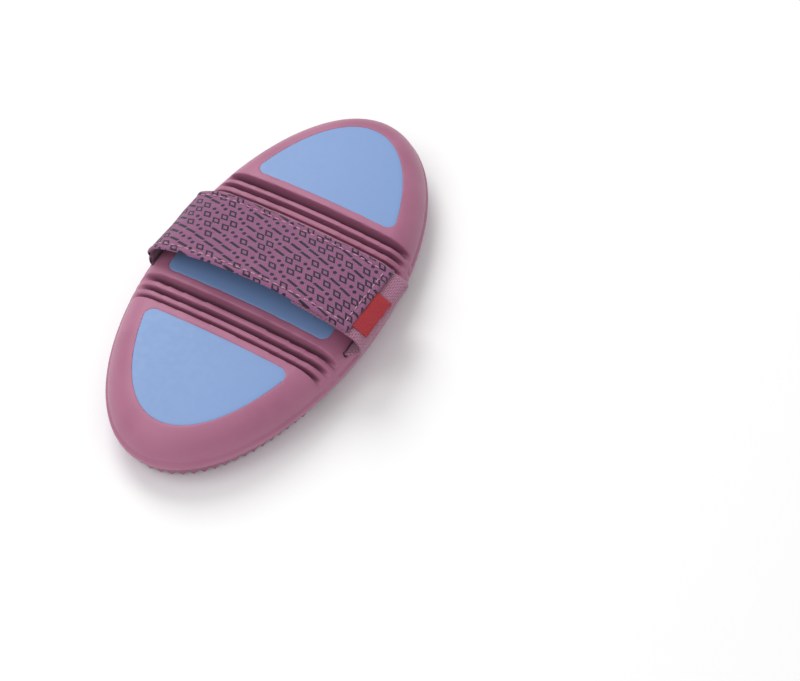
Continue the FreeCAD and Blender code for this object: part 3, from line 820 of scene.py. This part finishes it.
# ---- materials ----
def colour(r, g, b):
    """Linear colour from 0..255 screen values."""
    def linear(v):
        v /= 255
        return v / 12.92 if v <= 0.04045 else ((v + 0.055) / 1.055) ** 2.4
    return (linear(r), linear(g), linear(b), 1.0)


class Nodes:
    """Small helper to lay out a procedural material."""

    def __init__(self, name):
        self.material = bpy.data.materials.new(name)
        self.material.use_nodes = True
        self.tree = self.material.node_tree
        self.shader = self.tree.nodes["Principled BSDF"]

    def add(self, kind, **values):
        node = self.tree.nodes.new(kind)
        for key, value in values.items():
            setattr(node, key, value)
        return node

    def feed(self, socket, value):
        """Gives a socket a plain value, or links another node's output to it."""
        if isinstance(value, bpy.types.NodeSocket):
            self.tree.links.new(value, socket)
        else:
            socket.default_value = value

    def surface(self, name, value):
        self.feed(self.shader.inputs[name], value)

    def place(self):
        """Object coordinates in millimetres."""
        where = self.add("ShaderNodeTexCoord")
        size = self.add("ShaderNodeVectorMath", operation="SCALE")
        self.feed(size.inputs["Scale"], 1 / MM)
        self.feed(size.inputs[0], where.outputs["Object"])
        return size.outputs[0]

    def cloth_place(self):
        return self.add("ShaderNodeAttribute", attribute_name="cloth_place").outputs["Vector"]

    def fed(self, node, **values):
        """A node with its inputs fed by name, underscores standing for spaces."""
        for name, value in values.items():
            self.feed(node.inputs[name.replace("_", " ")], value)
        return node

    def noise(self, vector, scale, detail, rough=0.5):
        node = self.add("ShaderNodeTexNoise")
        self.fed(node, Scale=scale, Detail=detail, Roughness=rough, Vector=vector)
        return node.outputs["Fac"]

    def math(self, operation, a, b=None, clamp=False):
        node = self.add("ShaderNodeMath", operation=operation, use_clamp=clamp)
        self.feed(node.inputs[0], a)
        if b is not None:
            self.feed(node.inputs[1], b)
        return node.outputs[0]

    def times(self, a, b):
        return self.math("MULTIPLY", a, b)

    def plus(self, a, b):
        return self.math("ADD", a, b)

    def range(self, value, a, b, c=0.0, d=1.0):
        """Goes softly from c to d while the value goes from a to b."""
        node = self.add("ShaderNodeMapRange", interpolation_type="SMOOTHSTEP")
        self.fed(node, From_Min=a, From_Max=b, To_Min=c, To_Max=d, Value=value)
        return node.outputs[0]

    def mix(self, share, a, b):
        node = self.add("ShaderNodeMix", data_type="RGBA")
        for index, value in ((0, share), (6, a), (7, b)):
            self.feed(node.inputs[index], value)
        return node.outputs[2]

    def bump(self, height, distance, strength, normal=None):
        """distance is the height of the relief in millimetres."""
        node = self.fed(self.add("ShaderNodeBump"), Distance=distance * MM, Strength=strength, Height=height)
        if normal is not None:
            self.feed(node.inputs["Normal"], normal)
        return node.outputs["Normal"]

    def split(self, vector):
        return self.fed(self.add("ShaderNodeSeparateXYZ"), Vector=vector).outputs


def groove_shade_share(n, where):
    """Share of the painted groove shade: most on the floor of the hinge grooves, none at the pleats' tops."""
    aside, along, height = n.split(where)
    aside = n.math("ABSOLUTE", aside)
    along = n.math("ABSOLUTE", along)
    past_centre = n.range(along, CENTRE_HALF - 2.4, CENTRE_HALF - 0.8)
    before_end = n.range(along, END_START + 0.8, END_START + 2.2, 1.0, 0.0)
    between = n.times(past_centre, before_end)
    inside = n.times(between, n.range(aside, HALF_W - 11, HALF_W - 5, 1.0, 0.0))
    return n.times(inside, n.range(height, WEB_TOP_Z - 1.2, BACK_Z - 3.7, 0.85, 0.0))


def rubber_material():
    n = Nodes("mauve_rubber")
    where = n.place()
    cloud = n.noise(where, 0.035, 4)
    speck = n.noise(where, 1.6, 4, 0.6)
    base = n.mix(n.range(cloud, 0.35, 0.65), colour(152, 89, 117), colour(161, 98, 126))
    dusty = n.mix(n.range(speck, 0.60, 0.80, 0.0, 0.14), base, colour(184, 134, 154))
    # painted shade: the hinge grooves are darkened toward colour(96, 48, 70), where the folds would fall into
    # shadow
    n.surface("Base Color", n.mix(groove_shade_share(n, where), dusty, colour(96, 48, 70)))
    n.surface("Roughness", n.range(speck, 0.3, 0.7, 0.44, 0.56))
    grain = n.bump(n.noise(where, 4.0, 2), 0.02, 0.6)
    n.surface("Normal", n.bump(cloud, 0.5, 0.25, grain))
    n.surface("Specular IOR Level", 0.45)
    n.surface("Sheen Weight", 0.12)
    n.surface("Sheen Roughness", 0.5)
    return n.material


def plastic_material():
    n = Nodes("blue_plastic")
    where = n.place()
    cloud = n.noise(where, 0.02, 1)
    base = n.mix(n.range(cloud, 0.35, 0.65), colour(112, 142, 190), colour(115, 145, 193))
    n.surface("Base Color", base)
    n.surface("Roughness", n.range(n.noise(where, 0.4, 3), 0.3, 0.7, 0.50, 0.56))
    n.surface("Normal", n.bump(n.noise(where, 5.0, 1), 0.002, 0.2))
    n.surface("Specular IOR Level", 0.6)
    return n.material


def print_motifs(n, u, v):
    """Ink of each motif at a place in its cell: lozenge outline, leaning bar, pair of dots."""
    flat_u, flat_v = n.math("ABSOLUTE", u), n.math("ABSOLUTE", v)
    spread = n.plus(n.math("DIVIDE", flat_u, LOZENGE_X), n.math("DIVIDE", flat_v, LOZENGE_Y))
    line = n.math("ABSOLUTE", n.math("SUBTRACT", spread, LOZENGE_LINE))
    outline = n.range(line, LOZENGE_HALF_LINE, LOZENGE_HALF_LINE + 0.06, 1.0, 0.0)
    lean = n.math("ABSOLUTE", n.plus(u, n.times(v, BAR_LEAN)))
    beside = n.range(lean, BAR_HALF, BAR_HALF + 0.1, 1.0, 0.0)
    bar = n.times(beside, n.range(flat_v, BAR_REACH, BAR_REACH + 0.15, 1.0, 0.0))
    rise = n.math("POWER", n.math("SUBTRACT", flat_v, DOT_OFF), 2.0)
    spot = n.plus(n.times(u, u), rise)
    dots = n.range(spot, DOT_R_SQUARED, DOT_R_SQUARED + 0.18, 1.0, 0.0)
    return outline, bar, dots


def print_mask(n, where):
    """Printed pattern: slanting rows of cells, each with one motif picked by chance."""
    slant = math.radians(PRINT_SLANT)
    run, rise = math.cos(slant), math.sin(slant)
    s, t, _ = n.split(where)
    along = n.plus(n.times(s, run), n.times(t, rise))
    across = n.math("SUBTRACT", n.times(t, run), n.times(s, rise))
    row = n.math("DIVIDE", across, PRINT_ROW)
    shift = n.times(n.math("FLOOR", row), PRINT_SHIFT)
    cell = n.plus(n.math("DIVIDE", along, PRINT_CELL), shift)
    u = n.times(n.math("SUBTRACT", n.math("FRACT", cell), 0.5), PRINT_CELL)
    v = n.times(n.math("SUBTRACT", n.math("FRACT", row), 0.5), PRINT_ROW)
    place = n.add("ShaderNodeCombineXYZ")
    n.feed(place.inputs[0], n.math("FLOOR", cell))
    n.feed(place.inputs[1], n.math("FLOOR", row))
    pick = n.add("ShaderNodeTexWhiteNoise", noise_dimensions="2D")
    n.feed(pick.inputs["Vector"], place.outputs[0])
    kind = pick.outputs["Value"]
    outline, bar, dots = print_motifs(n, u, v)
    first = n.times(outline, n.math("LESS_THAN", kind, LOZENGE_SHARE))
    third = n.times(dots, n.math("GREATER_THAN", kind, DOT_FROM))
    above, below = n.math("GREATER_THAN", kind, LOZENGE_SHARE), n.math("LESS_THAN", kind, DOT_FROM)
    second = n.times(bar, n.times(above, below))
    return n.math("MAXIMUM", n.math("MAXIMUM", first, second), third, clamp=True)


def weave(n, where, pitch):
    """Height of a plain weave of that pitch in millimetres."""
    s, t, _ = n.split(where)
    k = math.pi / pitch
    warp = n.math("ABSOLUTE", n.math("SINE", n.times(s, k)))
    weft = n.math("ABSOLUTE", n.math("SINE", n.times(t, k)))
    over = n.math("SINE", n.times(n.plus(s, t), k))
    warp_top = n.times(warp, n.plus(over, 1.5))
    weft_top = n.times(weft, n.math("SUBTRACT", 1.5, over))
    return n.plus(warp_top, weft_top)


def fabric_material():
    n = Nodes("printed_fabric")
    where = n.cloth_place()
    wobble = n.noise(where, 0.9, 3)
    ink = n.times(print_mask(n, where), n.range(wobble, 0.2, 0.36, 0.35, 1.0))
    threads = weave(n, where, 0.55)
    heather = n.mix(n.range(n.noise(where, 2.2, 3), 0.35, 0.65), colour(126, 73, 110), colour(144, 89, 126))
    lit = n.mix(n.range(threads, 0.6, 2.6, 0.0, 0.3), heather, colour(168, 112, 150))
    n.surface("Base Color", n.mix(ink, lit, colour(42, 38, 50)))
    n.surface("Roughness", 0.85)
    n.surface("Sheen Weight", 0.25)
    n.surface("Sheen Roughness", 0.4)
    n.surface("Specular IOR Level", 0.2)
    n.surface("Normal", n.bump(threads, 0.10, 0.8))
    return n.material


def plain_cloth(name, dark, light, pitch, relief, fuzz=0.3):
    n = Nodes(name)
    where = n.cloth_place()
    threads = weave(n, where, pitch)
    flecks = n.noise(where, 1.5, 4, 0.6)
    # painted highlight and shade: raised threads are coloured lighter and the hollows of the weave darker;
    # the flecks add random tone
    thread_highlight = n.range(threads, 0.4, 2.6, 0.0, 0.6)
    share = n.math("ADD", thread_highlight, n.range(flecks, 0.4, 0.65, 0.0, 0.4), clamp=True)
    n.surface("Base Color", n.mix(share, dark, light))
    n.surface("Roughness", 0.9)
    n.surface("Sheen Weight", fuzz)
    n.surface("Specular IOR Level", 0.2)
    rough = n.bump(flecks, relief, 0.5)
    n.surface("Normal", n.bump(threads, relief, 0.8, rough))
    return n.material


def thread_material():
    n = Nodes("pink_thread")
    where = n.place()
    twist = n.noise(where, 3.0, 2)
    strands = n.mix(n.range(twist, 0.3, 0.7), colour(176, 116, 142), colour(206, 150, 170))
    n.surface("Base Color", strands)
    n.surface("Roughness", 0.6)
    n.surface("Sheen Weight", 0.2)
    n.surface("Normal", n.bump(twist, 0.06, 0.6))
    return n.material


def steel_material():
    n = Nodes("steel_rod")
    where = n.place()
    steel = n.mix(n.noise(where, 1.0, 4), colour(120, 120, 124), colour(160, 160, 164))
    n.surface("Base Color", steel)
    n.surface("Metallic", 1.0)
    n.surface("Roughness", 0.4)
    return n.material


RUBBER = rubber_material()
PLASTIC = plastic_material()
PRINTED = fabric_material()
LINING_CLOTH = plain_cloth("dark_lining", colour(98, 58, 80), colour(132, 84, 106), 0.8, 0.10)
HOOKS = plain_cloth("hook_tape", colour(92, 54, 72), colour(150, 100, 122), 1.2, 0.35)
TAPE = plain_cloth("red_tape", colour(138, 34, 44), colour(176, 56, 64), 0.45, 0.06, 0.1)
WEBBING = plain_cloth("loop_webbing", colour(128, 78, 104), colour(184, 126, 152), 0.9, 0.18)
THREAD = thread_material()
STEEL = steel_material()


# ---- build the comb ----
def build_body():
    """One rubber skin from each end to the middle."""
    front = finish_piece(smooth_by_angle(body_half(), 45), RUBBER)
    front.name = "front_body_rubber"
    rear = turned_copy(front, "rear_body_rubber")
    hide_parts("front_pad", "front_hinge_pleats", "centre_pad")
    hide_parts("rear_pad", "rear_hinge_pleats")
    for piece, body, sign in ((front, "front_end", -1), (rear, "rear_end", 1)):
        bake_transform(piece)


def build_teeth():
    teeth = finish_piece(smooth_by_angle(end_teeth(), 50), RUBBER)
    teeth.name = "front_teeth_rubber"
    rear_teeth = turned_copy(teeth, "rear_teeth_rubber")
    for piece, side in ((teeth, "front"), (rear_teeth, "rear")):
        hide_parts(f"{side}_outer_ridge", f"{side}_middle_ridge", f"{side}_inner_ridge")
        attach(piece, f"{side}_end")
    middle = finish_piece(smooth_by_angle(centre_teeth(), 50), RUBBER)
    middle.name = "centre_teeth_rubber"
    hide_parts("centre_outer_ridge", "centre_inner_ridge", "centre_cross_ridges")
    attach(middle, "centre")


def build_plates():
    front = panel("front_panel", outline_of(end_runs(PANEL_RX, PANEL_RY, END_PANEL_Y, END_PANEL_R)))
    finish_piece(front, PLASTIC)
    rear = turned_copy(front, "rear_panel")
    runs = centre_runs(PANEL_RX, PANEL_RY, CENTRE_PANEL_Y, CENTRE_PANEL_R)
    centre = finish_piece(panel("centre_panel", outline_of(runs)), PLASTIC)
    sides = ((front, "front", "front_end"), (rear, "rear", "rear_end"), (centre, "centre", "centre"))
    for piece, side, body in sides:
        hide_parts(f"{side}_back_plate")
        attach(piece, body)
        show_cad(f"{side}_base_plate", PLASTIC)


def show_cad(node, material):
    """A CAD sub-part that stays as it is, with its material."""
    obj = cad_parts[node]
    obj.data.materials.clear()
    obj.data.materials.append(material)


def build_flap(flap):
    """Printed cloth and its lining, which run over the crease above the slot."""
    printed = cloth_strip("grip_strap_fabric", flap, STRAP_HALF_Y, 0, FABRIC, hem=0.28, ripple=0.10)
    finish_piece(printed, PRINTED)
    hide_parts("grip_strap", "grip_strap_root")
    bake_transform(printed)
    half_y, top = STRAP_HALF_Y - LINING_IN, FABRIC - LINING_LAP
    inner = cloth_strip("strap_lining_cloth", flap, half_y, top, FABRIC + LINING, s1=LINING_END, ripple=0.08)
    finish_piece(inner, LINING_CLOTH)
    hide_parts("strap_lining")
    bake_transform(inner)


def build_sewn(flap):
    """Hook tape, thread and pull tag, which are sewn to the flap."""
    low, high = node_box("hook_tape")
    s0, s1 = (1 - (FLAP_END_X - x) * FLAP_LEAN / flap.length for x in (low.x, high.x))
    under = FABRIC + LINING
    top, bottom = under - HOOK_LAP, under + HOOK_THICK
    hook = cloth_strip("hook_tape_strip", flap, HOOK_HALF_Y, top, bottom, s0=s0, s1=s1)
    finish_piece(hook, HOOKS)
    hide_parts("hook_tape")
    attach(hook, "strap_flap")
    seams = finish_piece(stitch_rows("strap_stitches", flap), THREAD)
    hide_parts("strap_stitching")
    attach(seams, "strap_flap")
    tag = finish_piece(tag_mesh("pull_tag_tape", flap), TAPE)
    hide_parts("pull_tag")
    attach(tag, "strap_flap")


def build_loop():
    """Webbing that the flap closes on."""
    loop = Ribbon(LOOP_FRONT, LOOP_REAR, 240)
    webbing = cloth_strip("loop_strap_webbing", loop, STRAP_HALF_Y, 0, LOOP, ripple=0.05, edge_r=0.8)
    finish_piece(webbing, WEBBING)
    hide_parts("loop_strap")
    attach(webbing, "centre")


# ---- stage, lights and camera ----
def plain_material(name, rgb, rough):
    n = Nodes(name)
    n.surface("Base Color", rgb)
    n.surface("Roughness", rough)
    return n.material


def build_stage():
    """Pale floor under a white sky."""
    size = 6.0
    corners = [(-size, -size, 0), (size, -size, 0), (size, size, 0), (-size, size, 0)]
    floor = new_object("floor", corners, [(0, 1, 2, 3)])
    floor.data.materials.append(plain_material("pale_floor", (0.9, 0.9, 0.9, 1), 0.9))
    world = bpy.data.worlds.new("studio")
    world.use_nodes = True
    sky = world.node_tree.nodes["Background"]
    sky.inputs["Color"].default_value = (1, 1, 1, 1)
    sky.inputs["Strength"].default_value = 0.68
    bpy.context.scene.world = world


def area_light(name, place, size, power):
    """Round soft light that looks at the origin."""
    data = bpy.data.lights.new(name, "AREA")
    data.shape = "DISK"
    data.size = size
    data.energy = power
    lamp = bpy.data.objects.new(name, data)
    lamp.location = place
    lamp.rotation_mode = "QUATERNION"
    lamp.rotation_quaternion = (-Vector(place)).to_track_quat("-Z", "Y")
    bpy.context.scene.collection.objects.link(lamp)


def build_lights():
    area_light("key", (-0.7, 0.5, 1.0), size=0.8, power=8.5)
    area_light("fill", (-0.4, -0.5, 1.0), size=0.7, power=2.4)
    area_light("front", (0.1, -0.9, 0.5), size=0.5, power=1.0)


def build_camera():
    """Looks down on the comb from its front right, with room for a second one beside it."""
    place = Vector((0.26965, -0.42305, 0.66244))
    right = Vector((0.87643, 0.48075, 0.02735)).normalized()
    forward = Vector((-0.26382, 0.52692, -0.80794)).normalized()
    up = right.cross(forward).normalized()
    right = forward.cross(up)
    camera = bpy.data.cameras.new("camera")
    camera.lens = 92.38
    camera.sensor_width = 36.0
    holder = bpy.data.objects.new("camera", camera)
    holder.matrix_world = Matrix((
        (right.x, up.x, -forward.x, place.x),
        (right.y, up.y, -forward.y, place.y),
        (right.z, up.z, -forward.z, place.z),
        (0, 0, 0, 1)))
    bpy.context.scene.collection.objects.link(holder)
    bpy.context.scene.camera = holder


build_body()
build_teeth()
build_plates()
show_cad("strap_anchor_bars", STEEL)
strap_flap = Ribbon(FLAP_ROOT + FLAP_FRONT, FLAP_ROOT + FLAP_REAR, 320)
build_flap(strap_flap)
build_sewn(strap_flap)
build_loop()
build_stage()
build_lights()
build_camera()
bpy.context.scene.view_settings.view_transform = "Standard"  # the colours above are chosen for it
